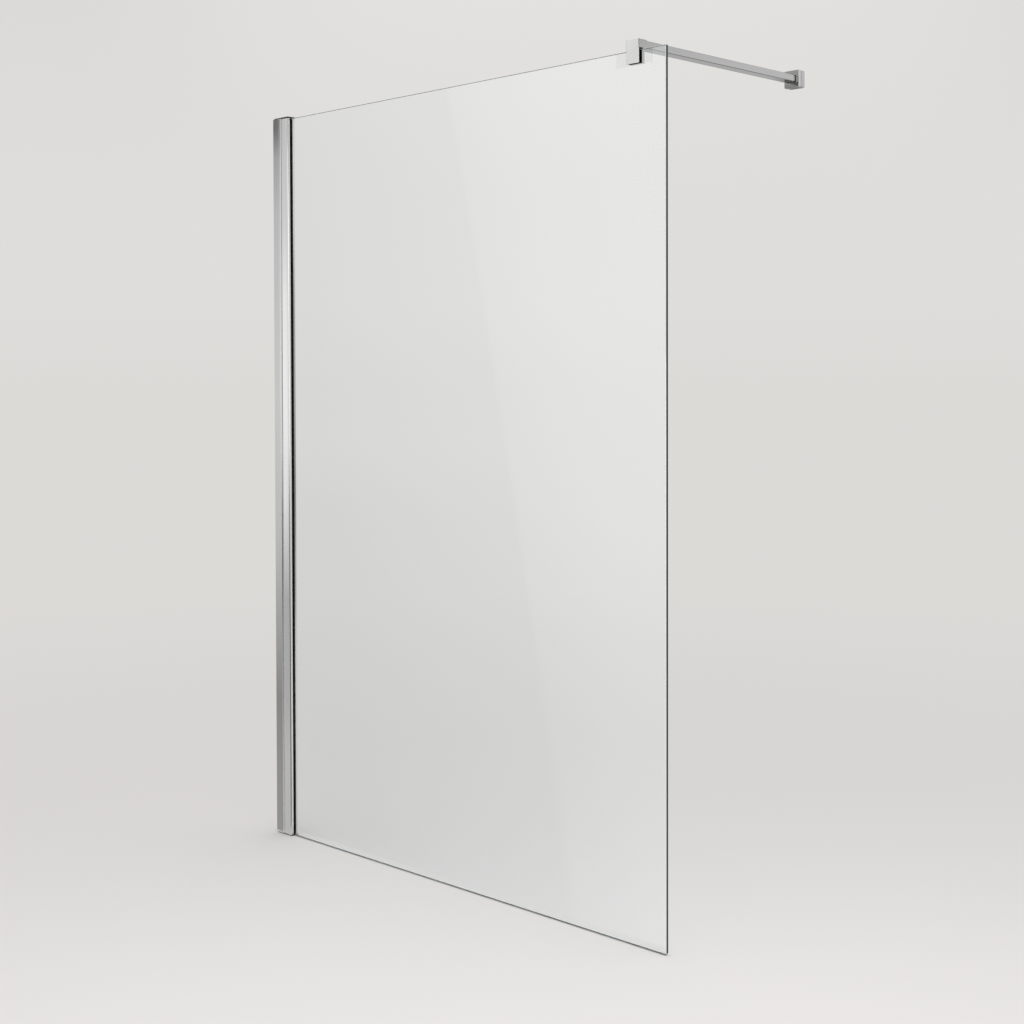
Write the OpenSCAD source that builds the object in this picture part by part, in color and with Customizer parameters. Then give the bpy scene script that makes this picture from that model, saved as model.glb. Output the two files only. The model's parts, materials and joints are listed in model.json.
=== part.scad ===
// Walk-in shower screen. A clear pane is held by a two-part wall profile along one edge,
// and a bar clamped on its top edge braces it to the wall that it faces.
// Origin: on the wall, at mid glass thickness, at the lower ends of the channel and the glass.
// +X runs from the wall along the glass, +Y from the glass to the braced wall, +Z up.

/* [Glass] */
// Thickness of the glass
glass_t = 8; // [6:1:10]
// Height of the glass
glass_h = 1950; // [1200:10:2200]
// Distance from the wall to the free edge of the glass
screen_w = 1380; // [700:10:1600]
// Width of the ground bevel along the edges of the glass
arris = 1; // [0.3:0.1:1.5]
// Radius of the two free corners of the glass
corner_r = 3; // [1:0.5:10]

/* [Wall channel] */
// Width of the wall channel, across the glass
channel_w = 32; // [30:1:44]
// Depth of the wall channel, out from the wall
channel_d = 33; // [30:1:40]
// Thickness of the channel's web and legs
channel_t = 1.8; // [1.6:0.1:2.4]
// Length of the rounded lip at the end of each leg
lip_len = 6; // [3:0.5:8]
// Thickness left at the tip of the lip
lip_tip = 1.2; // [0.6:0.1:1.5]
// Height of the channel above the top of the glass
channel_rise = 2; // [1:0.5:6]
// Number of wall screws
wall_hole_count = 4; // [3:1:6]
// Diameter of the wall screw holes
wall_hole_d = 5.5; // [4:0.5:7]
// Distance of the end wall screws from the channel's ends
wall_hole_end = 120; // [60:10:250]

/* [Glass profile] */
// Depth of the glass profile, from its legs' ends to its nose
profile_d = 59.5; // [56:0.5:75]
// Thickness of the glass profile's walls
profile_t = 1.6; // [1.2:0.1:2]
// Depth of the pocket that holds the glass
pocket_d = 24.5; // [22:0.5:26]
// Outer radius of the nose's upright edges
nose_r = 3; // [2.5:0.5:5]
// Gap between the nose and the glass, which the seal fills
nose_gap = 1.6; // [1.2:0.1:3]
// Height of the profile above the top of the glass
profile_rise = 0.5; // [0.5:0.5:3]
// Running gap on each side between profile and channel
slide_gap = 0.2; // [0.1:0.05:0.5]
// Gap between the profile's legs and the channel's web when pushed home
stop_gap = 1.2; // [0.5:0.1:3]
// Length of travel for setting the width
width_travel = 15; // [5:1:16]

/* [Seals and caps] */
// Thickness of the strip between the glass edge and the profile
packer_t = 6; // [3:0.5:8]
// Width of that strip past each face of the glass
packer_side = 1; // [0.5:0.5:2]
// Length of the seal's foot inside the pocket
seal_foot = 12; // [8:0.5:14]
// Thickness of the seal's strip on the glass, in the pocket
seal_strip = 3; // [2:0.5:4]
// Reach of the seal's lip on the glass, past the nose
seal_lip = 2.5; // [2:0.5:6]
// Thickness of the seal's lip at its edge
seal_edge = 0.8; // [0.5:0.1:1.5]
// Number of barbs on the seal's foot
barb_count = 3; // [2:1:4]
// Thickness of the rib that the seal's foot rests against
rib_t = 1.2; // [0.8:0.1:2]
// Height of that rib
rib_h = 3; // [2:0.5:6]
// Thickness of the cap on the profile's top
top_cap_t = 4; // [2:0.5:6]
// Thickness of the cap under the profile, which stands on the floor
foot_cap_t = 2; // [1:0.5:6]
// Depth of the caps' plugs in the profile
plug_d = 10; // [5:1:20]
// Wall thickness of the caps' plugs
plug_t = 1.8; // [1.2:0.2:3]
// Clearance round the caps' plugs and the seals' feet
fit_gap = 0.2; // [0.1:0.05:0.4]

/* [Locking screws] */
// Number of locking screws
lock_count = 3; // [2:1:5]
// Distance of the end locking screws from the glass's ends
lock_end = 200; // [60:10:400]
// Distance of the locking screws from the wall
lock_x = 23.5; // [23:0.5:24]
// Diameter of the locking screws
lock_d = 4; // [3:0.5:4.5]
// Diameter of a locking screw's head
lock_head_d = 7.6; // [7:0.2:8]
// Height of a locking screw's head
lock_head_h = 2.2; // [1.6:0.2:3]
// Length that a locking screw's tip stands out of its nut plate
lock_tip = 1; // [0.5:0.5:3]
// Thickness of the cup washer
washer_t = 1.2; // [0.8:0.2:2]
// Diameter of the cup washer
washer_d = 9.4; // [8.6:0.2:10]
// Wall thickness of the screw cover cap
cover_cap_t = 0.8; // [0.6:0.1:1.2]
// Width of the locking nut plate, along the slot
nut_w = 12; // [8:1:12]
// Height of the locking nut plate
nut_h = 16; // [10:1:30]
// Thickness of the locking nut plate
nut_t = 3; // [2:0.5:5]
// Radius of the nut plate's corners
nut_r = 2; // [0.5:0.5:3]

/* [Glass clamp] */
// Distance from the free edge of the glass to the clamp's near side
clamp_inset = 71; // [55:1:400]
// Width of the clamp along the glass
clamp_w = 36; // [34:1:50]
// Height of the clamp above the top of the glass
clamp_rise = 22.4; // [22:0.2:30]
// Height of the clamp below the top of the glass
clamp_drop = 29; // [28:1:50]
// Thickness of the clamp's front plate
plate_t = 2.1; // [1.6:0.1:4]
// Radius of the front plate's upright edges
plate_r = 0.9; // [0.4:0.1:1.4]
// Thickness of the gasket in front of the glass
gasket_front = 3.8; // [2:0.2:6]
// Thickness of the gasket on top of the glass edge
gasket_top = 4; // [2:0.5:4]
// Thickness of the gasket behind the glass
gasket_back = 1.2; // [0.8:0.2:3]
// Distance of the gasket's sides in from the clamp's sides
gasket_inset = 0.3; // [0.1:0.1:1]
// Thickness of the clamp's leg behind the glass
leg_t = 8; // [6:0.5:12]
// Length that the block reaches behind the clamp's leg
block_back = 4.2; // [2:0.2:10]
// Depth of the shadow groove between plate and block
groove_d = 0.6; // [0.3:0.1:1]
// Width of the shadow groove between plate and block
groove_w = 0.7; // [0.4:0.1:1.5]
// Clearance between the gasket and the glass that it slides on
glass_gap = 0.05; // [0.03:0.01:0.2]

/* [Clamp hardware] */
// Thickness of the pressure plate
press_t = 1.5; // [1:0.1:2]
// Width of the pressure plate
press_w = 28; // [26:1:30]
// Height of the pressure plate
press_h = 18; // [12:1:20]
// Radius of the pressure plate's corners
press_r = 2; // [0.5:0.5:4]
// Diameter of the clamp screws
clamp_screw_d = 6; // [4:1:8]
// Distance between the clamp screws
clamp_screw_pitch = 16; // [12:1:18]
// Diameter of the plate screw
plate_screw_d = 5; // [4:0.5:5]
// Diameter of the plate screw's head
plate_head_d = 8.5; // [8:0.5:9]
// Height of the plate screw's head
plate_head_h = 5; // [3:0.5:6]
// Depth of that head below the end of the clamp's spigot
plate_head_in = 3; // [1:0.5:6]
// Distance of the plate screw's tip from the front plate
plate_tip_gap = 1; // [0.5:0.5:3]
// Diameter of the threaded boss behind the front plate
boss_d = 9; // [8:0.5:10]
// Length of the threaded boss behind the front plate
boss_len = 8; // [6:0.5:10]
// Radial clearance of a screw in its threaded hole
thread_gap = 0.05; // [0.03:0.01:0.1]
// Radial clearance of a screw in its through hole
hole_gap = 0.3; // [0.2:0.05:0.6]

/* [Brace bar] */
// Distance from the middle of the glass to the braced wall
brace_reach = 600; // [400:10:1200]
// Width of the bar
bar_w = 27.5; // [26:0.5:30]
// Height of the bar
bar_h = 16.5; // [16:0.5:18]
// Wall thickness of the bar
bar_t = 1.5; // [1:0.1:1.6]
// Radius of the bar's edges
bar_r = 1.5; // [0.6:0.1:2]
// Distance of the bar's top below the top of the clamp
bar_step = 0.3; // [0.1:0.1:1]
// Clearance on each side between the bar and the spigots in it
spigot_gap = 0.15; // [0.1:0.05:0.3]
// Length of the clamp's spigot
stub_len = 22; // [18:1:40]
// Length of the bracket's spigot, from the base's step
spigot_len = 46; // [40:1:70]
// Length of spigot that shows between bar and bracket
neck_len = 10.5; // [8:0.5:16]
// Diameter of the bar lock screws
bar_screw_d = 5; // [3:1:5]
// Distance of the bar lock screws from the bar's ends
bar_screw_end = 10; // [6:1:12]

/* [Wall bracket] */
// Side of the square bracket cover
cover_w = 41; // [39:0.5:50]
// Depth of the bracket cover
cover_d = 10; // [9:0.5:16]
// Wall thickness of the bracket cover
cover_t = 2; // [1.5:0.1:2.2]
// Clearance between the bar and the cover's opening
cover_gap = 0.3; // [0.2:0.05:0.6]
// Depth of the bracket base
base_d = 15.5; // [14:0.5:25]
// Distance of the base's sides in from the cover's sides
base_inset = 0.35; // [0.2:0.05:1]
// Height of the step that seats the cover
step_h = 4; // [3:0.5:5]
// Radius of the upright corners of cover and base
flange_r = 2; // [0.8:0.1:3]
// Diameter of the bracket's wall screw holes
base_hole_d = 4.8; // [4:0.2:5]
// Diameter of the counterbores for the wall screws' heads
base_bore_d = 8.4; // [8:0.2:8.6]
// Thickness of metal under the wall screws' heads
base_seat_t = 10; // [5:0.5:12]
// Distance of the wall screws from the bar's axis
base_hole_off = 12; // [11.8:0.1:12.2]
// Diameter of the spigot screw
spigot_screw_d = 6; // [5:0.5:6]
// Diameter of the spigot screw's countersunk head
spigot_head_d = 11; // [9:0.5:12]
// Length of the spigot screw's thread in the spigot
spigot_thread = 18; // [10:1:22]
// Depth of the spigot's threaded hole past the screw's tip
blind_depth = 3; // [1:0.5:5]
// Diameter of the cover's set screw
set_screw_d = 3; // [2:0.5:3]

/* [Hidden] */
$fn = 48;
// Cutters pass this far through what they cut
over = 1;
// Sockets across their corners, as shares of the screw's diameter
head_socket = 0.7;
cap_socket = 0.9;
set_socket = 0.5;

// Heights above the lower ends of the channel and the glass
channel_h = glass_h + channel_rise;
profile_h = glass_h + profile_rise;

// Wall channel and glass profile, across the glass and out from the wall
channel_half = channel_w / 2;
lip_fall = channel_t - lip_tip;
lip_r = (lip_len * lip_len + lip_fall * lip_fall) / (2 * lip_fall);
profile_half = channel_half - channel_t - slide_gap;
profile_inner = profile_half - profile_t;
legs_x = channel_t + stop_gap;
nose_x = legs_x + profile_d;
nose_centre_x = nose_x - nose_r;
nose_centre_y = profile_half - nose_r;
nose_back = nose_x - profile_t;
web_x = nose_x - pocket_d - profile_t;
pocket_x = web_x + profile_t;
glass_half = glass_t / 2;
nose_in = glass_half + nose_gap;
glass_x = pocket_x + packer_t;
seal_x = nose_back - fit_gap - seal_foot;
wall_hole_span = channel_h - 2 * wall_hole_end;

// Locking screws, from the outside of the channel's leg inwards
lock_span = glass_h - 2 * lock_end;
lock_head_y = channel_half + washer_t;
nut_y = profile_inner - fit_gap;
lock_tip_y = nut_y - nut_t - lock_tip;
slot_d = lock_d + 2 * hole_gap;
cap_inner_r = washer_d / 2 + fit_gap / 2;
cap_h = washer_t + lock_head_h + fit_gap + cover_cap_t;

// Glass clamp
clamp_x = screen_w - clamp_inset - clamp_w / 2;
clamp_top = glass_h + clamp_rise;
clamp_low = glass_h - clamp_drop;
clamp_h = clamp_top - clamp_low;
gasket_in = glass_half + glass_gap;
plate_back = -gasket_in - gasket_front;
leg_y = gasket_in + gasket_back;
block_end = leg_y + leg_t + block_back;
block_z = glass_h + glass_gap + gasket_top;
bar_z = clamp_top - bar_step - bar_h / 2;
press_z = clamp_low + (block_z - clamp_low) / 2;
press_pocket = press_t + fit_gap;

// Brace bar and its spigots
bar_y = block_end + spigot_gap / 2;
spigot_w = bar_w - 2 * (bar_t + spigot_gap);
spigot_h = bar_h - 2 * (bar_t + spigot_gap);
plate_bore_y = block_end + stub_len - plate_head_h - plate_head_in;

// Wall bracket
base_y = brace_reach - base_d;
step_y = base_y - step_h;
cover_y = base_y - fit_gap / 2 - cover_d;
bar_end = cover_y - neck_len;
base_w = cover_w - 2 * base_inset;
step_w = cover_w - 2 * (cover_t + fit_gap);
spigot_head_h = (spigot_head_d - spigot_screw_d) / 2;

// A rectangle with round corners, centred
module round_rect(w, h, r) {
    square([w - 2 * r, h], center = true);
    square([w, h - 2 * r], center = true);
    for (x = [-1, 1], y = [-1, 1]) {
        translate([x * (w / 2 - r), y * (h / 2 - r)]) circle(r);
    }
}

// A prism along +Y from an outline in X and Z, centred on the bar's axis
module along_y(y, length) {
    translate([clamp_x, y + length, bar_z]) rotate([90, 0, 0]) linear_extrude(length) children();
}

// A rod or bore along +Y
module rod_y(d, x, y, z, length) {
    translate([x, y + length, z]) rotate([90, 0, 0]) cylinder(h = length, d = d);
}

// A rod or bore along +X
module rod_x(d, x, y, z, length) {
    translate([x, y, z]) rotate([0, 90, 0]) cylinder(h = length, d = d);
}

// A hexagonal socket along +Y
module hex_y(d, x, y, z, length) {
    translate([x, y + length, z]) rotate([90, 0, 0]) cylinder(h = length, d = d, $fn = 6);
}

// A hexagonal socket along +X
module hex_x(d, x, y, z, length) {
    translate([x, y, z]) rotate([0, 90, 0]) cylinder(h = length, d = d, $fn = 6);
}

// Places its child at each locking screw's height
module at_locks() {
    for (i = [0 : lock_count - 1]) {
        translate([lock_x, 0, lock_end + i * lock_span / (lock_count - 1)]) children();
    }
}

// Section of one leg of the wall channel, on the +Y side
module channel_leg_section() {
    translate([0, channel_half - channel_t]) square([channel_d - lip_len, channel_t]);
    intersection() {
        translate([channel_d - lip_len, channel_half - channel_t]) square([lip_len, channel_t]);
        translate([channel_d - lip_len, channel_half - lip_r]) circle(lip_r, $fn = 96);
    }
}

module wall_channel() {
    color("silver") difference() {
        linear_extrude(channel_h) {
            translate([0, -channel_half]) square([channel_t, channel_w]);
            channel_leg_section();
            mirror([0, 1]) channel_leg_section();
        }
        for (i = [0 : wall_hole_count - 1]) {
            z = wall_hole_end + i * wall_hole_span / (wall_hole_count - 1);
            rod_x(wall_hole_d, -over, 0, z, channel_t + 2 * over);
        }
        at_locks() rod_y(slot_d, 0, channel_half - channel_t - over, 0, channel_t + 2 * over);
    }
}

module locking_screws() {
    color("lightgray") at_locks() difference() {
        union() {
            rod_y(lock_d, 0, lock_tip_y, 0, lock_head_y - lock_tip_y);
            rod_y(lock_head_d, 0, lock_head_y, 0, lock_head_h);
        }
        hex_y(lock_d * head_socket, 0, lock_head_y + lock_head_h / 2, 0, lock_head_h);
    }
}

module locking_nut_plates() {
    color("gray") at_locks() difference() {
        translate([0, nut_y, 0]) rotate([90, 0, 0]) linear_extrude(nut_t) round_rect(nut_w, nut_h, nut_r);
        rod_y(lock_d + 2 * thread_gap, 0, nut_y - nut_t - over, 0, nut_t + 2 * over);
    }
}

module cup_washers() {
    color("whitesmoke") at_locks() difference() {
        rod_y(washer_d, 0, channel_half, 0, washer_t);
        rod_y(slot_d, 0, channel_half - over, 0, washer_t + 2 * over);
    }
}

// Half section of a screw cover cap, turned about its axis
module cover_cap_section() {
    outer_r = cap_inner_r + cover_cap_t;
    difference() {
        union() {
            square([outer_r, cap_h - cover_cap_t]);
            square([outer_r - cover_cap_t, cap_h]);
            translate([outer_r - cover_cap_t, cap_h - cover_cap_t]) circle(cover_cap_t);
        }
        square([cap_inner_r, cap_h - cover_cap_t]);
        translate([-outer_r, -over]) square([outer_r, cap_h + 2 * over]);
    }
}

module screw_cover_caps() {
    color("silver") at_locks() translate([0, channel_half, 0]) rotate([-90, 0, 0]) {
        rotate_extrude() cover_cap_section();
    }
}

// Section of the profile's wall on the +Y side, with its turned-in nose and the rib behind the seal
module profile_side_section() {
    translate([legs_x, profile_inner]) square([nose_centre_x - legs_x, profile_t]);
    translate([seal_x - fit_gap - rib_t, profile_inner - rib_h]) square([rib_t, rib_h]);
    translate([nose_back, nose_in]) square([profile_t, nose_centre_y - nose_in]);
    intersection() {
        translate([nose_centre_x, nose_centre_y]) difference() {
            circle(nose_r);
            circle(nose_r - profile_t);
        }
        translate([nose_centre_x, nose_centre_y]) square(nose_r + over);
    }
}

module glass_profile() {
    color("silver") difference() {
        linear_extrude(profile_h) {
            translate([web_x, -profile_inner]) square([profile_t, 2 * profile_inner]);
            profile_side_section();
            mirror([0, 1]) profile_side_section();
        }
        at_locks() {
            rod_y(slot_d, 0, profile_inner - over, 0, profile_t + 2 * over);
            rod_y(slot_d, -width_travel, profile_inner - over, 0, profile_t + 2 * over);
            translate([-width_travel, profile_inner - over, -slot_d / 2]) {
                cube([width_travel, profile_t + 2 * over, slot_d]);
            }
        }
    }
}

module glass_pane() {
    w = screen_w - glass_x;
    color([0.72, 0.86, 0.84, 0.4]) translate([glass_x, 0, 0]) intersection() {
        linear_extrude(glass_h) bevelled(w, glass_t);
        translate([w, 0, 0]) rotate([0, -90, 0]) linear_extrude(w) bevelled(glass_h, glass_t);
        translate([0, glass_half, 0]) rotate([90, 0, 0]) linear_extrude(glass_t) {
            square([w - corner_r, glass_h]);
            translate([0, corner_r]) square([w, glass_h - 2 * corner_r]);
            translate([w - corner_r, corner_r]) circle(corner_r);
            translate([w - corner_r, glass_h - corner_r]) circle(corner_r);
        }
    }
}

// A bar of length l and thickness t, from 0 along X, with its corners ground off
module bevelled(l, t) {
    polygon([[arris, -t / 2], [l - arris, -t / 2], [l, arris - t / 2], [l, t / 2 - arris],
        [l - arris, t / 2], [arris, t / 2], [0, t / 2 - arris], [0, arris - t / 2]]);
}

module edge_packer() {
    color("dimgray") translate([pocket_x, -glass_half - packer_side, 0]) {
        cube([packer_t, glass_t + 2 * packer_side, glass_h]);
    }
}

// Section of the seal on the +Y side: a strip on the glass, barbs and a heel that hold it in the
// pocket, and a lip past the nose
module seal_section() {
    heel_end = nose_back - fit_gap;
    heel_x = nose_centre_x - nose_r / 2;
    heel_r = nose_r - profile_t - fit_gap;
    foot_top = profile_inner - fit_gap;
    neck_h = nose_gap - fit_gap / 2;
    barb = (heel_x - seal_x) / barb_count;
    translate([seal_x, glass_half]) square([heel_end - seal_x, seal_strip]);
    translate([heel_x, glass_half]) square([nose_centre_x - heel_x, foot_top - glass_half]);
    translate([nose_centre_x, glass_half]) square([heel_end - nose_centre_x, nose_centre_y - glass_half]);
    translate([nose_centre_x, nose_centre_y]) circle(heel_r);
    for (i = [0 : barb_count - 1]) {
        translate([seal_x + i * barb, glass_half + seal_strip]) {
            barb_outline(barb / 2, foot_top - glass_half - seal_strip);
        }
    }
    translate([heel_end, glass_half]) square([nose_x + fit_gap - heel_end, neck_h]);
    translate([nose_x + fit_gap, glass_half]) {
        intersection() {
            circle(neck_h);
            square(neck_h);
        }
        square([seal_lip, seal_edge]);
    }
}

// A barb of width w and height h that leans towards the nose and narrows to half its width
module barb_outline(w, h) {
    polygon([[0, -over], [w, -over], [w, 0], [w * 1.5, h], [w, h], [0, 0]]);
}

module inner_glazing_seal() {
    color([0.08, 0.08, 0.08]) linear_extrude(glass_h) seal_section();
}

module outer_glazing_seal() {
    color([0.08, 0.08, 0.08]) mirror([0, 1, 0]) linear_extrude(glass_h) seal_section();
}

// Outline of a cap: the profile's own outline, closed across the pocket
module cap_outline() {
    translate([legs_x, -profile_half]) square([nose_centre_x - legs_x, 2 * profile_half]);
    translate([legs_x, -nose_centre_y]) square([profile_d, 2 * nose_centre_y]);
    for (y = [-1, 1]) {
        translate([nose_centre_x, y * nose_centre_y]) circle(nose_r);
    }
}

// Outline of a cap's plug: a ring in the space between the profile's legs
module plug_outline() {
    x = legs_x + fit_gap;
    l = web_x - legs_x - 2 * fit_gap;
    w = 2 * (profile_inner - fit_gap);
    translate([x + l / 2, 0]) difference() {
        square([l, w], center = true);
        square([l - 2 * plug_t, w - 2 * plug_t], center = true);
    }
}

module profile_top_cap() {
    color([0.1, 0.1, 0.1]) translate([0, 0, profile_h]) {
        linear_extrude(top_cap_t) cap_outline();
        translate([0, 0, -plug_d]) linear_extrude(plug_d) plug_outline();
    }
}

module profile_bottom_cap() {
    color([0.1, 0.1, 0.1]) {
        translate([0, 0, -foot_cap_t]) linear_extrude(foot_cap_t) cap_outline();
        linear_extrude(plug_d) plug_outline();
    }
}

// Outline of the clamp body from the side, in Y and Z, with the shadow groove behind the plate
module clamp_side_outline() {
    translate([plate_back, block_z + groove_d]) square([groove_w, clamp_top - block_z - 2 * groove_d]);
    translate([plate_back + groove_w, block_z]) {
        square([block_end - plate_back - groove_w, clamp_top - block_z]);
    }
    translate([leg_y, clamp_low]) square([leg_t, clamp_top - clamp_low]);
}

module clamp_body() {
    color("silver") difference() {
        union() {
            translate([clamp_x - clamp_w / 2, 0, 0]) rotate([90, 0, 90]) {
                linear_extrude(clamp_w) clamp_side_outline();
            }
            along_y(block_end - over, stub_len + over) round_rect(spigot_w, spigot_h, bar_r);
        }
        for (x = [-1, 1]) {
            translate([clamp_x + x * clamp_w / 2 - groove_d, plate_back - over, clamp_low]) {
                cube([2 * groove_d, groove_w + over, clamp_h]);
            }
            rod_y(clamp_screw_d + 2 * thread_gap, clamp_x + x * clamp_screw_pitch / 2, leg_y, press_z,
                leg_t + over);
        }
        translate([clamp_x - press_w / 2 - fit_gap, leg_y - over, press_z - press_h / 2 - fit_gap]) {
            cube([press_w + 2 * fit_gap, press_pocket + over, press_h + 2 * fit_gap]);
        }
        rod_y(boss_d + 2 * fit_gap, clamp_x, plate_back - over, bar_z, boss_len + fit_gap + over);
        rod_y(plate_screw_d + 2 * hole_gap, clamp_x, plate_back, bar_z, block_end + stub_len);
        rod_y(plate_head_d + 2 * hole_gap, clamp_x, plate_bore_y, bar_z, block_end + stub_len);
    }
}

module clamp_front_plate() {
    color("silver") {
        translate([clamp_x, plate_back, clamp_low]) difference() {
            union() {
                linear_extrude(clamp_h) {
                    translate([-clamp_w / 2 + plate_r, -plate_t]) square([clamp_w - 2 * plate_r, plate_t]);
                    translate([-clamp_w / 2, plate_r - plate_t]) square([clamp_w, plate_t - plate_r]);
                    for (x = [-1, 1]) {
                        translate([x * (clamp_w / 2 - plate_r), plate_r - plate_t]) circle(plate_r);
                    }
                }
                rod_y(boss_d, 0, -plate_t / 2, bar_z - clamp_low, boss_len + plate_t / 2);
            }
            rod_y(plate_screw_d + 2 * thread_gap, 0, -plate_t / 2, bar_z - clamp_low, boss_len + plate_t);
        }
    }
}

module clamp_gasket() {
    w = clamp_w - 2 * gasket_inset;
    low = clamp_low + gasket_inset;
    color([0.08, 0.08, 0.08]) translate([clamp_x - w / 2, 0, 0]) rotate([90, 0, 90]) linear_extrude(w) {
        translate([plate_back, low]) square([gasket_front, block_z - low]);
        translate([gasket_in, low]) square([gasket_back, block_z - low]);
        translate([plate_back, block_z - gasket_top]) square([leg_y - plate_back, gasket_top]);
    }
}

module clamp_pressure_plate() {
    color("gray") translate([clamp_x, leg_y + press_t, press_z]) rotate([90, 0, 0]) {
        linear_extrude(press_t) round_rect(press_w, press_h, press_r);
    }
}

// A socket set screw along +Y, driven from its far end
module set_screw_y(d, x, y, z, length) {
    difference() {
        rod_y(d, x, y, z, length);
        hex_y(d * set_socket, x, y + length / 2, z, length);
    }
}

module clamp_screws() {
    color("lightgray") for (x = [-1, 1]) {
        set_screw_y(clamp_screw_d, clamp_x + x * clamp_screw_pitch / 2, leg_y + press_t + thread_gap, press_z,
            leg_t - press_t - fit_gap);
    }
}

module clamp_plate_screw() {
    tip = plate_back + plate_tip_gap;
    color("lightgray") difference() {
        union() {
            rod_y(plate_screw_d, clamp_x, tip, bar_z, plate_bore_y - tip);
            rod_y(plate_head_d, clamp_x, plate_bore_y, bar_z, plate_head_h);
        }
        hex_y(plate_screw_d * cap_socket, clamp_x, plate_bore_y + plate_head_h / 2, bar_z, plate_head_h);
    }
}

module brace_bar() {
    color("silver") difference() {
        along_y(bar_y, bar_end - bar_y) difference() {
            round_rect(bar_w, bar_h, bar_r);
            square([bar_w - 2 * bar_t, bar_h - 2 * bar_t], center = true);
        }
        at_bar_screws() rod_x(bar_screw_d + 2 * thread_gap, -bar_w / 2 - over, 0, 0, bar_t + 2 * over);
    }
}

// Places its child on the bar's axis at each lock screw
module at_bar_screws() {
    for (y = [bar_y + bar_screw_end, bar_end - bar_screw_end]) {
        translate([clamp_x, y, bar_z]) children();
    }
}

module bar_lock_screws() {
    depth = bar_t + spigot_gap / 2;
    color("lightgray") at_bar_screws() difference() {
        rod_x(bar_screw_d, -bar_w / 2, 0, 0, depth);
        hex_x(bar_screw_d * set_socket, -bar_w / 2 - over, 0, 0, depth / 2 + over);
    }
}

module bracket_base() {
    color("silver") difference() {
        union() {
            along_y(base_y, base_d) round_rect(base_w, base_w, flange_r);
            along_y(step_y, step_h) round_rect(step_w, step_w, flange_r);
        }
        for (z = [-1, 1]) {
            rod_y(base_hole_d, clamp_x, step_y - over, bar_z + z * base_hole_off,
                base_d + step_h + 2 * over);
            rod_y(base_bore_d, clamp_x, step_y - over, bar_z + z * base_hole_off,
                base_d + step_h - base_seat_t + over);
        }
        rod_y(spigot_screw_d + 2 * hole_gap, clamp_x, step_y - over, bar_z, base_d + step_h + 2 * over);
        translate([clamp_x, brace_reach, bar_z]) rotate([90, 0, 0]) {
            cylinder(h = spigot_head_h + fit_gap, d1 = spigot_head_d + 2 * hole_gap,
                d2 = spigot_screw_d + 2 * hole_gap);
        }
    }
}

module bracket_spigot() {
    bore = spigot_thread + blind_depth;
    color("silver") difference() {
        along_y(step_y - spigot_len, spigot_len) round_rect(spigot_w, spigot_h, bar_r);
        rod_y(spigot_screw_d + 2 * thread_gap, clamp_x, step_y - bore, bar_z, bore + over);
    }
}

module spigot_screw() {
    head_y = brace_reach - fit_gap;
    tip = step_y - spigot_thread;
    color("lightgray") difference() {
        union() {
            rod_y(spigot_screw_d, clamp_x, tip, bar_z, head_y - tip);
            translate([clamp_x, head_y, bar_z]) rotate([90, 0, 0]) {
                cylinder(h = spigot_head_h, d1 = spigot_head_d, d2 = spigot_screw_d);
            }
        }
        hex_y(spigot_screw_d * head_socket, clamp_x, head_y - spigot_head_h / 2, bar_z, spigot_head_h);
    }
}

module bracket_cover() {
    open_w = bar_w + 2 * cover_gap;
    open_h = bar_h + 2 * cover_gap;
    inner_w = cover_w - 2 * cover_t;
    color("silver") difference() {
        along_y(cover_y, cover_d) round_rect(cover_w, cover_w, flange_r);
        along_y(cover_y + cover_t, cover_d) round_rect(inner_w, inner_w, flange_r);
        along_y(cover_y - over, cover_t + 2 * over) round_rect(open_w, open_h, bar_r);
        rod_x(set_screw_d + 2 * thread_gap, clamp_x - cover_w / 2 - over, base_y - step_h / 2, bar_z,
            cover_t + 2 * over);
    }
}

module cover_set_screw() {
    color("lightgray") difference() {
        rod_x(set_screw_d, clamp_x - cover_w / 2 + fit_gap, base_y - step_h / 2, bar_z, cover_t - fit_gap / 2);
        hex_x(set_screw_d * set_socket, clamp_x - cover_w / 2, base_y - step_h / 2, bar_z, cover_t / 2);
    }
}

wall_channel();
locking_screws();
locking_nut_plates();
cup_washers();
screw_cover_caps();
glass_profile();
glass_pane();
edge_packer();
outer_glazing_seal();
inner_glazing_seal();
profile_top_cap();
profile_bottom_cap();
clamp_body();
clamp_front_plate();
clamp_gasket();
clamp_pressure_plate();
clamp_screws();
clamp_plate_screw();
brace_bar();
bar_lock_screws();
bracket_base();
bracket_spigot();
spigot_screw();
bracket_cover();
cover_set_screw();
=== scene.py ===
import json
from math import cos, radians, sin

import bpy
from mathutils import Matrix, Vector


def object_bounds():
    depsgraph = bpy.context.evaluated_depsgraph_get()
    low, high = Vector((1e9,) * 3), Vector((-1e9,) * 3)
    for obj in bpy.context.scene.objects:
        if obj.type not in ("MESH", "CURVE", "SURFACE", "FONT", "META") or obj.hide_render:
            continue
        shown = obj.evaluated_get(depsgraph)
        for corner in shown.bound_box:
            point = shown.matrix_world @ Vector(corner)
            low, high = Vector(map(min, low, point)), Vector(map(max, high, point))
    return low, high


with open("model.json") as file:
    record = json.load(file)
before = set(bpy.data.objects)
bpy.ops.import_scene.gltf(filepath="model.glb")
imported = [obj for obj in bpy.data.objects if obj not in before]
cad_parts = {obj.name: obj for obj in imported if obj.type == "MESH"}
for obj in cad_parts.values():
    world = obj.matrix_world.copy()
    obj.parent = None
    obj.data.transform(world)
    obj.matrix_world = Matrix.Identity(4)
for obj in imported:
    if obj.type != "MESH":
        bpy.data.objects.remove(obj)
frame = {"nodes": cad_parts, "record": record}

# The object is a fixed glass shower screen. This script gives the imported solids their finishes,
# softens their edges, and sets up a plain pale studio with the camera at the photograph's angle.
# Lengths are in metres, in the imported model's own frame.

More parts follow.
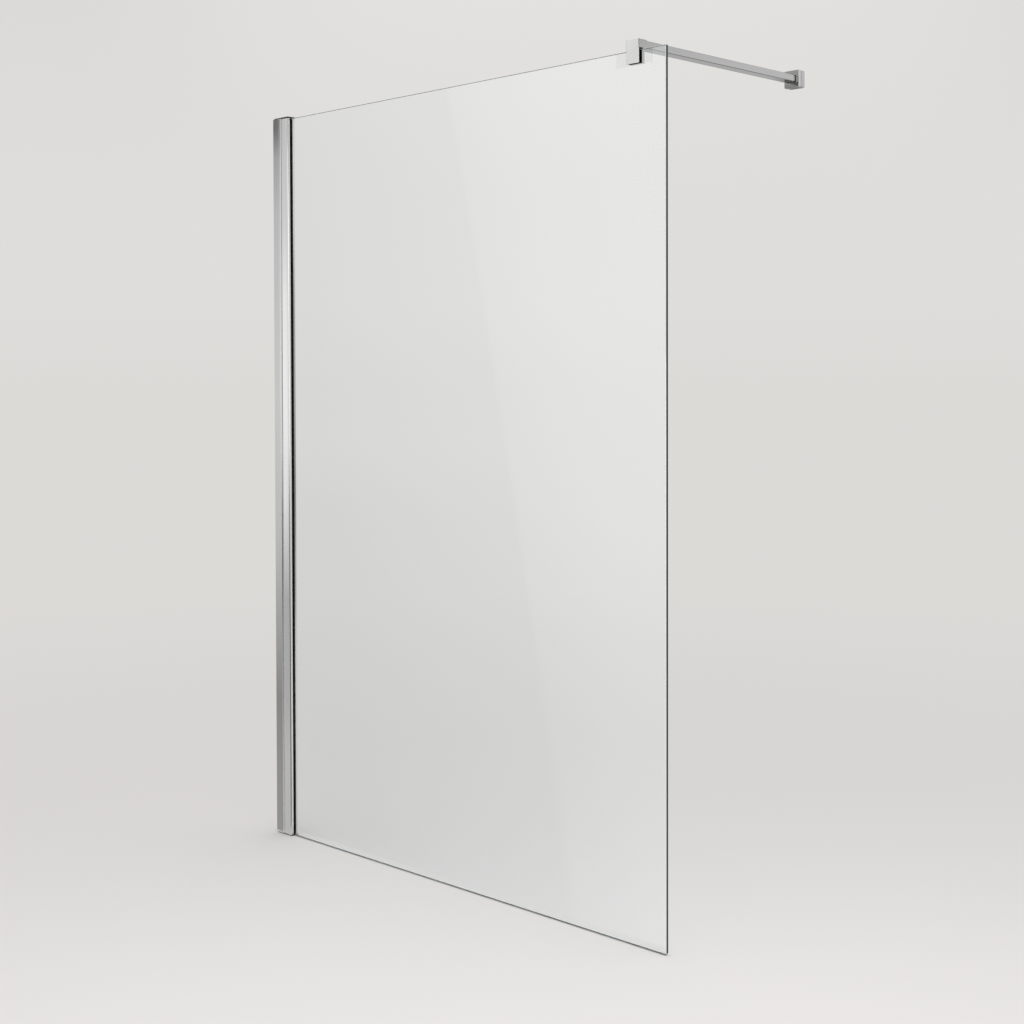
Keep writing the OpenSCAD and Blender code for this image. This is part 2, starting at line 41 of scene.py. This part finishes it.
cad_low, cad_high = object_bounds()
nodes = frame["nodes"]
slot_of = {row["node"]: row["material_slot"] for row in frame["record"]["subparts"]}


def add_object(name, data):
    obj = bpy.data.objects.new(name, data)
    bpy.context.scene.collection.objects.link(obj)
    return obj


# Camera, solved from the level and upright edges of the glass

CAMERA_PLACE = Vector((3.5864, -2.6474, 1.2241))
CAMERA_TURN = radians(45.328)
CAMERA_PITCH = radians(-1.238)
CAMERA_ROLL = radians(-0.143)
FOCAL_PIXELS = 1605.7
AXIS_ROW = 420.8
FRAME_PIXELS = 1024
SENSOR_MM = 36.0
NEAREST_SEEN = 0.05
FARTHEST_SEEN = 100


def make_camera():
    level = Vector((cos(CAMERA_TURN), sin(CAMERA_TURN), 0))
    ahead = Vector((
        -sin(CAMERA_TURN) * cos(CAMERA_PITCH),
        cos(CAMERA_TURN) * cos(CAMERA_PITCH),
        sin(CAMERA_PITCH),
    ))
    upward = level.cross(ahead)
    right = level * cos(CAMERA_ROLL) + upward * sin(CAMERA_ROLL)
    up = upward * cos(CAMERA_ROLL) - level * sin(CAMERA_ROLL)
    data = bpy.data.cameras.new("camera")
    data.sensor_width = SENSOR_MM
    data.lens = FOCAL_PIXELS / FRAME_PIXELS * SENSOR_MM
    data.shift_y = AXIS_ROW / FRAME_PIXELS - 0.5
    data.clip_start = NEAREST_SEEN
    data.clip_end = FARTHEST_SEEN
    camera = add_object("camera", data)
    turn = Matrix((right, up, -ahead)).transposed().to_4x4()
    camera.matrix_world = Matrix.Translation(CAMERA_PLACE) @ turn
    bpy.context.scene.camera = camera


make_camera()

# Small helpers for node trees

# The part of its range that a noise mostly keeps to
NOISE_RANGE = (0.3, 0.7)
# How far a rounded edge's normal points along its way: from none of the line to all of it
EDGE_FACING = (0.76, 0.82)


class Tree:
    """A node tree, with short calls for the nodes used below."""

    def __init__(self, owner):
        owner.use_nodes = True
        self.nodes = owner.node_tree.nodes
        self.links = owner.node_tree.links

    def put(self, node, name, value):
        """Links an output to the named input, or gives the input a value."""
        if isinstance(value, bpy.types.NodeSocket):
            self.links.new(value, node.inputs[name])
        else:
            node.inputs[name].default_value = value

    def node(self, kind, **inputs):
        """A new node. In the names of its inputs an underscore stands for a space."""
        made = self.nodes.new(kind)
        for name, value in inputs.items():
            self.put(made, name.replace("_", " "), value)
        return made

    def maths(self, operation, *values):
        made = self.nodes.new("ShaderNodeMath")
        made.operation = operation
        for index, value in enumerate(values):
            self.put(made, index, value)
        return made.outputs[0]

    def vectors(self, operation, *values):
        made = self.nodes.new("ShaderNodeVectorMath")
        made.operation = operation
        for index, value in enumerate(values):
            self.put(made, index, value)
        return made

    def place(self, stretch=(1, 1, 1)):
        """Object coordinates, scaled along each axis."""
        where = self.node("ShaderNodeTexCoord").outputs["Object"]
        return self.vectors("MULTIPLY", where, stretch).outputs[0]

    def noise(self, place, scale=1.0, detail=2.0, rough=0.5):
        made = self.node("ShaderNodeTexNoise", Vector=place, Scale=scale, Detail=detail, Roughness=rough)
        return made.outputs["Fac"]

    def spread(self, value, low, high, source=NOISE_RANGE, shape="LINEAR"):
        """The value, taken from the source range to low..high."""
        made = self.node("ShaderNodeMapRange", Value=value, From_Min=source[0], From_Max=source[1])
        made.interpolation_type = shape
        made.inputs["To Min"].default_value = low
        made.inputs["To Max"].default_value = high
        return made.outputs["Result"]

    def mix(self, factor, first, second):
        made = self.nodes.new("ShaderNodeMix")
        made.data_type = "RGBA"
        self.put(made, "Factor", factor)
        self.put(made, "A", first)
        self.put(made, "B", second)
        return made.outputs["Result"]

    def ramp(self, value, stops):
        """Greys at the stops, as (position, grey), with straight passages between them."""
        made = self.node("ShaderNodeValToRGB", Fac=value)
        elements = made.color_ramp.elements
        while len(elements) > 1:
            elements.remove(elements[-1])
        for index, (position, tone) in enumerate(stops):
            element = elements[0] if index == 0 else elements.new(position)
            element.position = position
            element.color = (tone, tone, tone, 1)
        return made.outputs["Color"]

    def blend(self, factor, first, second):
        """One shader passing into another."""
        made = self.nodes.new("ShaderNodeMixShader")
        for index, value in enumerate((factor, first, second)):
            self.put(made, index, value)
        return made.outputs[0]


class Finish(Tree):
    """A material's node tree."""

    def __init__(self, name):
        self.material = bpy.data.materials.new(name)
        super().__init__(self.material)
        self.shader = self.nodes["Principled BSDF"]
        self.output = self.nodes["Material Output"]

    def colours(self, value, first, last):
        """The first colour where a noise is low, and the last where it is high."""
        made = self.node("ShaderNodeValToRGB", Fac=self.spread(value, 0, 1))
        made.color_ramp.elements[0].color = (*first, 1)
        made.color_ramp.elements[1].color = (*last, 1)
        return made.outputs["Color"]

    def edge(self, *ways):
        """1 on rounded edges that face one of the ways, and 0 on the flat faces beside them."""
        normal = self.node("ShaderNodeNewGeometry").outputs["True Normal"]
        found = []
        for way in ways:
            product = self.vectors("DOT_PRODUCT", normal, Vector(way).normalized())
            found.append(product.outputs["Value"])
        nearest = found[0] if len(found) == 1 else self.maths("MAXIMUM", *found)
        return self.spread(nearest, 0, 1, EDGE_FACING)

    def paint_edge_lines(self, colour, line, ways):
        """The colour, with painted lines of another tone on the rounded edges that face the ways, as painted
        reflections.
        """
        if not ways:
            return colour
        return self.mix(self.edge(*ways), colour, (*line, 1))

    def bump(self, height, strength, distance, before=None):
        made = self.node("ShaderNodeBump", Height=height, Strength=strength, Distance=distance)
        if before is not None:
            self.put(made, "Normal", before)
        return made.outputs["Normal"]

    def surface(self, colour, rough, normal):
        """Gives the shader what changes over its surface."""
        self.put(self.shader, "Base Color", colour)
        self.put(self.shader, "Roughness", rough)
        self.put(self.shader, "Normal", normal)

    def metal(self, colour, rough, normal):
        self.surface(colour, rough, normal)
        self.shader.inputs["Metallic"].default_value = 1.0
        return self.material


def grey(tone):
    return (tone, tone, tone)


# Axes, by their place in a vector

ALONG_Y = 1
ALONG_Z = 2

# The ways that edges with a thin painted dark line face, and the tones of the lines. The lines are painted
# reflections of the dark room in the rounded edges; the plate's tone also paints the shadow in the gap
# behind the bracket's cover

BAR_LOWER_EDGE = (1, 0, -1)
PLATE_SIDE_EDGE = (-1, -1, 0)
PLATE_TOP_EDGE = (0, -1, 1)
BAR_PAINTED_REFLECTION = grey(0.30)
PLATE_PAINTED_DARK = grey(0.02)

# Scales of the patterns on metal that run along one axis: across it and along it

DRAWN_LINES = (1500.0, 6.0)
DRAWN_CLOUDS = (14, 0.7)
HAIRLINES = (900, 60)
TURNED_LINES = (400, 3000)

# Scales of the patterns that are even all round

POLISHING_WAVES = 60.0
PLATING_HAZE = 25.0
GROUND_GRAIN = 900.0
MOULDING_CLOUDS = 30.0

# Heights of the patterns, and how strongly those show that are the same on all pieces

DRAWN_HEIGHT = 0.0002
WAVE_HEIGHT = 0.0006
GRAIN_HEIGHT = 0.0001
WAVE_STRENGTH = 0.05
HAIR_STRENGTH = 0.02
TURNED_STRENGTH = 0.06


def along_axis(axis, scales):
    """The scale along each axis, from the scales across one axis and along it."""
    across, along = scales
    return [along if i == axis else across for i in range(3)]


def drawn_metal(name, first, last, axis, rough, bump, painted_edge_lines=()):
    """Bright metal with fine lines drawn along one axis, as on an extrusion or a tube."""
    tree = Finish(name)
    streak = tree.noise(tree.place(along_axis(axis, DRAWN_LINES)), detail=3.0, rough=0.6)
    cloud = tree.noise(tree.place(along_axis(axis, DRAWN_CLOUDS)))
    # Painted reflection: thin dark lines on the rounded edges that face the given ways
    colour = tree.paint_edge_lines(tree.colours(streak, first, last), BAR_PAINTED_REFLECTION, painted_edge_lines)
    return tree.metal(colour, tree.spread(cloud, *rough), tree.bump(streak, bump, DRAWN_HEIGHT))


def chrome(name, first, last, rough=(0.03, 0.09), painted_edge_lines=(), gap_shadow=None):
    """Mirror chrome plate on a cast body: faint polishing waves, hairlines and a little haze. A gap shadow
    is a thin band of painted shadow across Y, as (middle, half its width)."""
    tree = Finish(name)
    wave = tree.noise(tree.place(), POLISHING_WAVES, detail=1.0)
    hair = tree.noise(tree.place(along_axis(ALONG_Y, HAIRLINES)))
    haze = tree.noise(tree.place(), PLATING_HAZE, detail=3.0)
    # Painted reflection: thin dark lines on the rounded edges that face the given ways
    colour = tree.paint_edge_lines(tree.colours(haze, first, last), PLATE_PAINTED_DARK, painted_edge_lines)
    # Painted shadow: a thin dark band across Y, where the gap behind the cover is in shade
    if gap_shadow is not None:
        along = tree.node("ShaderNodeSeparateXYZ", Vector=tree.place()).outputs["Y"]
        colour = tree.mix(tree.maths("COMPARE", along, *gap_shadow), colour, (*PLATE_PAINTED_DARK, 1))
    waves = tree.bump(wave, WAVE_STRENGTH, WAVE_HEIGHT)
    return tree.metal(colour, tree.spread(haze, *rough), tree.bump(hair, HAIR_STRENGTH, GRAIN_HEIGHT, waves))


def turned_steel(name, first, last, rough):
    """Small steel pieces, turned or rolled."""
    tree = Finish(name)
    grain = tree.noise(tree.place(along_axis(ALONG_Y, TURNED_LINES)))
    colour = tree.colours(grain, first, last)
    return tree.metal(colour, tree.spread(grain, *rough), tree.bump(grain, TURNED_STRENGTH, GRAIN_HEIGHT))


def moulded(name, first, last, rough, grain, bump=0.1, gloss=0.5):
    """Rubber or moulded plastic, with a fine grain and slight changes of tone."""
    tree = Finish(name)
    cloud = tree.noise(tree.place(), MOULDING_CLOUDS, detail=3.0)
    relief = tree.bump(tree.noise(tree.place(), grain), bump, GRAIN_HEIGHT)
    tree.surface(tree.colours(cloud, first, last), tree.spread(cloud, *rough), relief)
    tree.shader.inputs["Specular IOR Level"].default_value = gloss
    return tree.material


GLASS_TINT = (0.952, 0.976, 0.982)
GLASS_SHADOW = (0.95, 0.96, 0.96)
GLASS_IOR = 1.52
# How far a normal points along Y: from a ground edge to the clear face
FACE_FACING = (0.85, 0.9)
EDGE_DARK = (0.003, 0.024, 0.022)
EDGE_LIGHT = (0.006, 0.034, 0.031)
EDGE_ROUGHNESS = 0.30
EDGE_CLEARNESS = 0.03
# Painted highlight on the arrises that face up or out along X
ARRIS_PAINTED_HIGHLIGHT = (0.88, 0.91, 0.90)
# How far a normal points out along X and Z, and how much of the arris's painted highlight it then has
ARRIS_HIGHLIGHT_FACING = [(0.55, 0.0), (0.62, 1.0), (0.8, 1.0), (0.88, 0.0)]


def clear_glass(name):
    """Clear float glass: clear through its faces, dark teal at its ground edges, and with a painted
    highlight on the arrises that face up or out along X. Shadow rays and diffuse rays go straight through
    its faces."""
    tree = Finish(name)
    normal = tree.node("ShaderNodeNewGeometry").outputs["True Normal"]
    normal = tree.node("ShaderNodeSeparateXYZ", Vector=normal)
    face = tree.spread(tree.maths("ABSOLUTE", normal.outputs["Y"]), 0, 1, FACE_FACING)
    # Painted highlight: pale where the arris faces up or out along X
    arris_highlight = tree.ramp(tree.maths("ADD", normal.outputs["X"], normal.outputs["Z"]), ARRIS_HIGHLIGHT_FACING)
    grain = tree.noise(tree.place(), GROUND_GRAIN)
    edge = tree.mix(arris_highlight, tree.colours(grain, EDGE_DARK, EDGE_LIGHT), (*ARRIS_PAINTED_HIGHLIGHT, 1))
    tree.put(tree.shader, "Base Color", tree.mix(face, edge, (*GLASS_TINT, 1)))
    tree.put(tree.shader, "Roughness", tree.spread(face, EDGE_ROUGHNESS, 0.0, (0, 1)))
    tree.put(tree.shader, "Transmission Weight", tree.spread(face, EDGE_CLEARNESS, 1.0, (0, 1)))
    tree.shader.inputs["IOR"].default_value = GLASS_IOR
    path = tree.node("ShaderNodeLightPath")
    light = tree.maths("MAXIMUM", path.outputs["Is Shadow Ray"], path.outputs["Is Diffuse Ray"])
    through = tree.node("ShaderNodeBsdfTransparent", Color=(*GLASS_SHADOW, 1))
    straight = tree.maths("MULTIPLY", light, face)
    tree.put(tree.output, "Surface", tree.blend(straight, tree.shader.outputs[0], through.outputs[0]))
    return tree.material


# One finish for each material slot of the record

CHROME_TONES = (grey(0.54), (0.59, 0.59, 0.585))
finishes = {
    "profile_metal": drawn_metal("profile_metal", grey(0.80), grey(0.87), ALONG_Z,
                                 rough=(0.08, 0.13), bump=0.05),
    # The bar's lower edge carries a painted dark reflection
    "chrome_bar": drawn_metal("chrome_bar", grey(0.54), grey(0.61), ALONG_Y,
                              rough=(0.07, 0.12), bump=0.04, painted_edge_lines=[BAR_LOWER_EDGE]),
    "chrome_fitting": chrome("chrome_fitting", *CHROME_TONES),
    "clear_glass": clear_glass("clear_glass"),
    "black_rubber": moulded("black_rubber", grey(0.002), grey(0.004),
                            rough=(0.45, 0.6), grain=1500.0, gloss=0.06),
    "black_plastic": moulded("black_plastic", (0.010, 0.010, 0.011), (0.018, 0.018, 0.019),
                             rough=(0.4, 0.55), grain=2500.0, bump=0.15, gloss=0.4),
    "packer_plastic": moulded("packer_plastic", grey(0.20), grey(0.26),
                              rough=(0.5, 0.6), grain=1200.0),
    "white_nylon": moulded("white_nylon", (0.72, 0.72, 0.70), (0.80, 0.80, 0.78),
                           rough=(0.4, 0.5), grain=1200.0),
    "plated_plastic": chrome("plated_plastic", grey(0.55), (0.60, 0.60, 0.595)),
    "screw_steel": turned_steel("screw_steel", grey(0.52), grey(0.62), rough=(0.2, 0.35)),
    "zinc_steel": turned_steel("zinc_steel", (0.50, 0.52, 0.56), (0.58, 0.60, 0.64), rough=(0.25, 0.4)),
}

# Four fittings differ a little from the other plated pieces: the pressed cover has a brighter copy of the
# chrome as a painted reflection, the base has a band of painted shadow in the gap behind the cover, the
# clamp's plate has thin painted dark reflections along two edges, and the neck is satin, with a brighter
# tone that is a painted reflection

# The base's band of painted shadow, in the gap just behind the cover
COVER_BACK = max(corner.co.y for corner in nodes["bracket_cover"].data.vertices)
GAP_SHADOW_BEHIND_COVER = 0.00093
GAP_SHADOW_HALF_WIDTH = 0.00078
gap_shadow = (COVER_BACK + GAP_SHADOW_BEHIND_COVER, GAP_SHADOW_HALF_WIDTH)
special = {
    "bracket_base": chrome("base_chrome", *CHROME_TONES, gap_shadow=gap_shadow),
    # Painted reflection: a brighter copy of the chrome, for the brighter reflection on the cover's side
    "bracket_cover": chrome("cover_chrome_painted_bright", grey(0.66), (0.70, 0.70, 0.695)),
    # The plate's side and top edges carry painted dark reflections
    "clamp_front_plate": chrome("plate_chrome", *CHROME_TONES, painted_edge_lines=[PLATE_SIDE_EDGE, PLATE_TOP_EDGE]),
    # Satin roughness, and a brighter copy of the chrome as a painted reflection, for the bright neck
    "bracket_spigot": chrome("neck_chrome_painted_bright", grey(0.78), (0.84, 0.84, 0.83), rough=(0.35, 0.45)),
}

# Edge softening, for the solids whose edges catch the light

EDGE_RADIUS = {
    "clamp_body": 0.0004,
    "clamp_front_plate": 0.0006,
    "bracket_base": 0.0008,
    "bracket_cover": 0.0005,
    "bracket_spigot": 0.0004,
    "brace_bar": 0.0003,
    "wall_channel": 0.00025,
    "glass_profile": 0.00025,
    "profile_top_cap": 0.0004,
    "profile_bottom_cap": 0.0003,
    "clamp_gasket": 0.0003,
}
EDGE_STEPS = 2
SHARPEST_LEFT = radians(35)
WELD_DISTANCE = 0.000002


def soften(obj, radius):
    weld = obj.modifiers.new("weld", "WELD")
    weld.merge_threshold = WELD_DISTANCE
    bevel = obj.modifiers.new("edges", "BEVEL")
    bevel.width = radius
    bevel.segments = EDGE_STEPS
    bevel.limit_method = "ANGLE"
    bevel.angle_limit = SHARPEST_LEFT
    bevel.harden_normals = True


for name, obj in nodes.items():
    finish = special.get(name, finishes[slot_of[name]])
    if not obj.material_slots:
        obj.data.materials.append(finish)
    for held in obj.material_slots:
        held.material = finish
    if name in EDGE_RADIUS:
        soften(obj, EDGE_RADIUS[name])

# Floor: pale near the object, passing into the backdrop's colour far out

FLOOR_TONE = (0.816, 0.797, 0.772)
HORIZON_TONE = (0.717, 0.701, 0.681)
FLOOR_ROUGHNESS = 0.9
FLOOR_RADIUS = 30.0
FLOOR_SIDES = 96
FLOOR_GAP = 0.0003
FLOOR_CENTRE = 0.7
# Distances from the floor's centre between which it passes into the tone of the horizon
FADE = (1.6, 5.5)


def make_floor():
    middle = (FLOOR_CENTRE, 0, cad_low[2] - FLOOR_GAP)
    bpy.ops.mesh.primitive_circle_add(vertices=FLOOR_SIDES, radius=FLOOR_RADIUS, fill_type="NGON",
                                      location=middle)
    floor = bpy.context.object
    floor.name = "floor"
    tree = Finish("floor")
    tree.shader.inputs["Base Color"].default_value = (*FLOOR_TONE, 1)
    tree.shader.inputs["Roughness"].default_value = FLOOR_ROUGHNESS
    tree.shader.inputs["Specular IOR Level"].default_value = 0.0
    distance = tree.vectors("LENGTH", tree.place()).outputs["Value"]
    far = tree.node("ShaderNodeEmission", Color=(*HORIZON_TONE, 1), Strength=1.0)
    surface = tree.blend(tree.spread(distance, 0, 1, FADE), tree.shader.outputs[0], far.outputs[0])
    tree.put(tree.output, "Surface", surface)
    floor.data.materials.append(tree.material)


make_floor()

# World: the backdrop's colour for what the camera, metal and glass see, and even soft light for the rest

WORLD_LIGHT = (0.83, 0.83, 0.84)
BACKDROP_TONE = (0.739, 0.724, 0.706)
CEILING_TONE = grey(0.42)
# Heights, as the sine of the angle above level, over which the backdrop and the ceiling take over
RISE = (0.0, 0.05)
CEILING = (0.35, 0.7)
# A faint round glow on the backdrop: the way to its middle, its spread as a cosine, the heights over which
# it comes in, and the change of strength outside it and in its middle
GLOW_WAY = Vector((-0.656, 0.715, 0.243)).normalized()
GLOW_SPREAD = (0.951, 1.0)
GLOW_HEIGHT = (0.12, 0.23)
GLOW_OUTSIDE = -0.035
GLOW_MIDDLE = 0.040


def make_world():
    world = bpy.data.worlds.new("studio")
    bpy.context.scene.world = world
    tree = Tree(world)
    tree.nodes.clear()
    way = tree.node("ShaderNodeTexCoord").outputs["Generated"]
    height = tree.node("ShaderNodeSeparateXYZ", Vector=way).outputs["Z"]
    tone = tree.mix(tree.spread(height, 0, 1, RISE), (*HORIZON_TONE, 1), (*BACKDROP_TONE, 1))
    tone = tree.mix(tree.spread(height, 0, 1, CEILING), tone, (*CEILING_TONE, 1))
    near = tree.vectors("DOT_PRODUCT", way, GLOW_WAY).outputs["Value"]
    glow = tree.spread(near, GLOW_OUTSIDE, GLOW_MIDDLE, GLOW_SPREAD, "SMOOTHSTEP")
    strength = tree.maths("MULTIPLY_ADD", tree.spread(height, 0, 1, GLOW_HEIGHT), glow, 1.0)
    backdrop = tree.node("ShaderNodeBackground", Color=tone, Strength=strength)
    light = tree.node("ShaderNodeBackground", Color=(*WORLD_LIGHT, 1))
    path = tree.node("ShaderNodeLightPath")
    seen = tree.maths("MAXIMUM", path.outputs["Is Camera Ray"], path.outputs["Is Glossy Ray"])
    seen = tree.maths("MAXIMUM", seen, path.outputs["Is Transmission Ray"])
    output = tree.node("ShaderNodeOutputWorld")
    tree.put(output, "Surface", tree.blend(seen, light.outputs[0], backdrop.outputs[0]))


make_world()

# Reflector cards: only polished surfaces see them, as they see the flags and softboxes of a studio

CARD_STEPS = 12
CARD_BASE = 0.001
# Between the depth of a ray that was reflected once and of one that was reflected twice
ONE_REFLECTION = 1.5
# How solid a card is, as (position, share) across it or up it
WHOLE = [(0.0, 1.0)]
SOFT_SIDES = [(0.0, 0.0), (0.2, 1.0), (0.8, 1.0), (1.0, 0.0)]
SOFT_TOP = [(0.0, 1.0), (0.93, 1.0), (1.0, 0.0)]


def card_mesh(name, foot, top, heights):
    """A sheet between two level lines. Its front faces left of the way from the first end to the second."""
    steps = range(CARD_STEPS + 1)
    grid = [(i / CARD_STEPS, j / CARD_STEPS) for j in steps for i in steps]
    low, high = [[Vector((*end, z)) for end in line] for line, z in zip((foot, top), heights)]
    points = [low[0].lerp(low[1], u).lerp(high[0].lerp(high[1], u), v) for u, v in grid]
    row = CARD_STEPS + 1
    corners = [j * row + i for j in range(CARD_STEPS) for i in range(CARD_STEPS)]
    faces = [(a, a + row, a + row + 1, a + 1) for a in corners]
    mesh = bpy.data.meshes.new(name)
    mesh.from_pydata(points, [], faces)
    layer = mesh.uv_layers.new(name="span")
    for loop in mesh.loops:
        layer.data[loop.index].uv = grid[loop.vertex_index]
    return mesh


def card(name, foot, heights, tones, top=None, across=WHOLE, upward=WHOLE, strength=1.0,
         second=None, takeover=None, slant=0.0, once=False):
    """A standing card, which leans where its top is given. Its greys go by height, and it is more or less
    solid across and upward. A second set of greys takes over from side to side, along lines that slant.
    A card seen once doesn't show in the reflection of a reflection."""
    mesh = card_mesh(name, foot, top or foot, heights)
    tree = Finish(name)
    tree.nodes.remove(tree.shader)
    span = tree.node("ShaderNodeSeparateXYZ", Vector=tree.node("ShaderNodeTexCoord").outputs["UV"])
    across_place = span.outputs["X"]
    up_place = span.outputs["Y"]
    colour = tree.ramp(up_place, tones)
    if second is not None:
        slanted = tree.maths("MULTIPLY_ADD", up_place, slant, across_place)
        slanted = tree.spread(slanted, 0, 1, (0, 1 + slant))
        colour = tree.mix(tree.ramp(slanted, takeover), colour, tree.ramp(up_place, second))
    glow = tree.node("ShaderNodeEmission", Color=colour, Strength=strength)
    solid = tree.maths("MULTIPLY", tree.ramp(across_place, across), tree.ramp(up_place, upward))
    front = tree.maths("SUBTRACT", 1.0, tree.node("ShaderNodeNewGeometry").outputs["Backfacing"])
    solid = tree.maths("MULTIPLY", solid, front)
    if once:
        depth = tree.node("ShaderNodeLightPath").outputs["Glossy Depth"]
        solid = tree.maths("MULTIPLY", solid, tree.maths("LESS_THAN", depth, ONE_REFLECTION))
    clear = tree.node("ShaderNodeBsdfTransparent")
    tree.put(tree.output, "Surface", tree.blend(solid, clear.outputs[0], glow.outputs[0]))
    mesh.materials.append(tree.material)
    obj = add_object(name, mesh)
    obj.visible_camera = False
    obj.visible_diffuse = False
    obj.visible_transmission = False
    obj.visible_volume_scatter = False
    obj.visible_shadow = False


# The glass card: dim at the left and low down, bright at the right, with a slanted boundary
card("glass_card",
     foot=((0.039, -0.035), (1.88, -0.035)),
     top=((-0.331, -0.308), (1.704, -0.308)),
     heights=(CARD_BASE, 2.06),
     tones=[(0.0, 0.06), (0.35, 0.06), (0.43, 0.09), (0.515, 0.245), (0.92, 0.23)],
     across=[(0.73, 1.0), (1.0, 0.0)],
     upward=[(0.0, 1.0), (0.985, 1.0), (1.0, 0.0)],
     strength=2.7,
     second=[(0.0, 0.61), (0.2, 0.64), (0.35, 0.73), (0.45, 0.90), (0.60, 0.97), (0.92, 0.90)],
     takeover=[(0.15, 0.0), (0.25, 0.10), (0.458, 0.33), (0.463, 0.54), (0.59, 0.88), (0.71, 1.0)],
     slant=0.23,
     once=True)

# The profile card grades the faces of the upright profiles, and the channel flag darkens the channel
card("profile_card",
     foot=((-0.35, -0.028), (0.042, -0.028)),
     top=((-0.60, -0.20), (-0.188, -0.20)),
     heights=(CARD_BASE, 2.1),
     tones=[(0.0, 0.53), (0.09, 0.55), (0.17, 0.47), (0.30, 0.47), (0.435, 0.87), (0.57, 1.0), (0.70, 0.97),
            (0.81, 0.73), (0.94, 0.62)])
card("channel_flag",
     foot=((-0.16, -0.022), (0.021, -0.022)),
     top=((-0.25, -0.10), (-0.084, -0.10)),
     heights=(CARD_BASE, 2.05),
     tones=[(0.0, 0.0)],
     upward=[(0.0, 0.38), (0.1, 0.43), (0.18, 0.40), (0.31, 0.05), (0.45, 0.31), (0.72, 0.36), (0.83, 0.22),
             (0.91, 0.36), (0.95, 0.71)])

# The plate flag gives the clamp's plate an even tone in front of the bright card
card("plate_flag",
     foot=((1.11, -0.15), (1.22, -0.15)),
     heights=(1.955, 2.06),
     tones=[(0.0, 0.79)],
     strength=1.5)

# The bright card stands far out, for what the near cards leave open
card("bright_card",
     foot=((-2.2, -3.0), (1.4, -3.0)),
     heights=(CARD_BASE, 3.3),
     tones=[(0.0, 0.62), (0.45, 0.9), (0.72, 1.0), (0.86, 0.72), (1.0, 0.6)],
     across=[(0.0, 0.35), (0.12, 0.6), (0.35, 1.0), (0.85, 1.0), (1.0, 0.0)],
     upward=SOFT_TOP,
     strength=1.5)

# The rear card is the dark room behind the camera, which shows in edges and inner corners
card("rear_card",
     foot=((3.9, -3.7), (4.7, -2.6)),
     heights=(CARD_BASE, 3.2),
     tones=[(0.0, 0.25)],
     across=SOFT_SIDES,
     upward=[(0.0, 1.0), (0.9, 1.0), (1.0, 0.0)],
     second=[(0.0, 0.34), (0.5, 0.28), (0.72, 0.28), (0.85, 0.36)],
     takeover=[(0.4, 0.0), (0.44, 1.0)])

# The right card gives the faces that look along the glass their dark band
card("right_card",
     foot=((4.6, 0.9), (1.9, 4.3)),
     heights=(CARD_BASE, 3.0),
     tones=[(0.0, 0.40), (0.10, 0.36), (0.22, 0.22), (0.39, 0.40), (0.56, 0.35), (0.70, 0.77), (0.84, 0.80),
            (0.865, 0.78), (0.885, 0.65), (1.0, 0.63)],
     across=SOFT_SIDES,
     upward=SOFT_TOP)

# The back card is low and dark behind the brace, for the undersides of the bar and the wall bracket
card("back_card",
     foot=((0.75, 2.0), (-1.0, 2.0)),
     heights=(0.8, 2.1),
     tones=[(0.0, 0.27)],
     across=[(0.0, 0.0), (0.25, 1.0), (0.7, 1.0), (1.0, 0.0)],
     upward=[(0.0, 0.0), (0.4, 1.0), (0.7, 1.0), (1.0, 0.0)],
     second=[(0.0, 0.53)],
     takeover=[(0.27, 0.0), (0.32, 1.0)])

# The bracket flag stands before the wall bracket's face, dark below and paler above
card("bracket_flag",
     foot=((0.98, 0.37), (1.24, 0.37)),
     heights=(1.84, 2.12),
     tones=[(0.0, 0.14), (0.45, 0.155), (0.6, 0.39), (1.0, 0.42)],
     across=[(0.0, 0.0), (0.2, 1.0)])

# One long, low softbox lights the floor before the object

STRIP_PLACE = Vector((1.63, -0.50, 1.3))
STRIP_SIZE = (3.2, 1.0)
STRIP_WATTS = 6.2


def make_strip_light():
    data = bpy.data.lights.new("strip", "AREA")
    data.shape = "RECTANGLE"
    data.size, data.size_y = STRIP_SIZE
    data.energy = STRIP_WATTS
    lamp = add_object("strip", data)
    lamp.matrix_world = Matrix.Translation(STRIP_PLACE) @ Matrix.Rotation(CAMERA_TURN, 4, "Z")
    lamp.visible_glossy = False
    lamp.visible_camera = False
    lamp.visible_transmission = False


make_strip_light()

bpy.context.scene.view_settings.view_transform = "Standard"
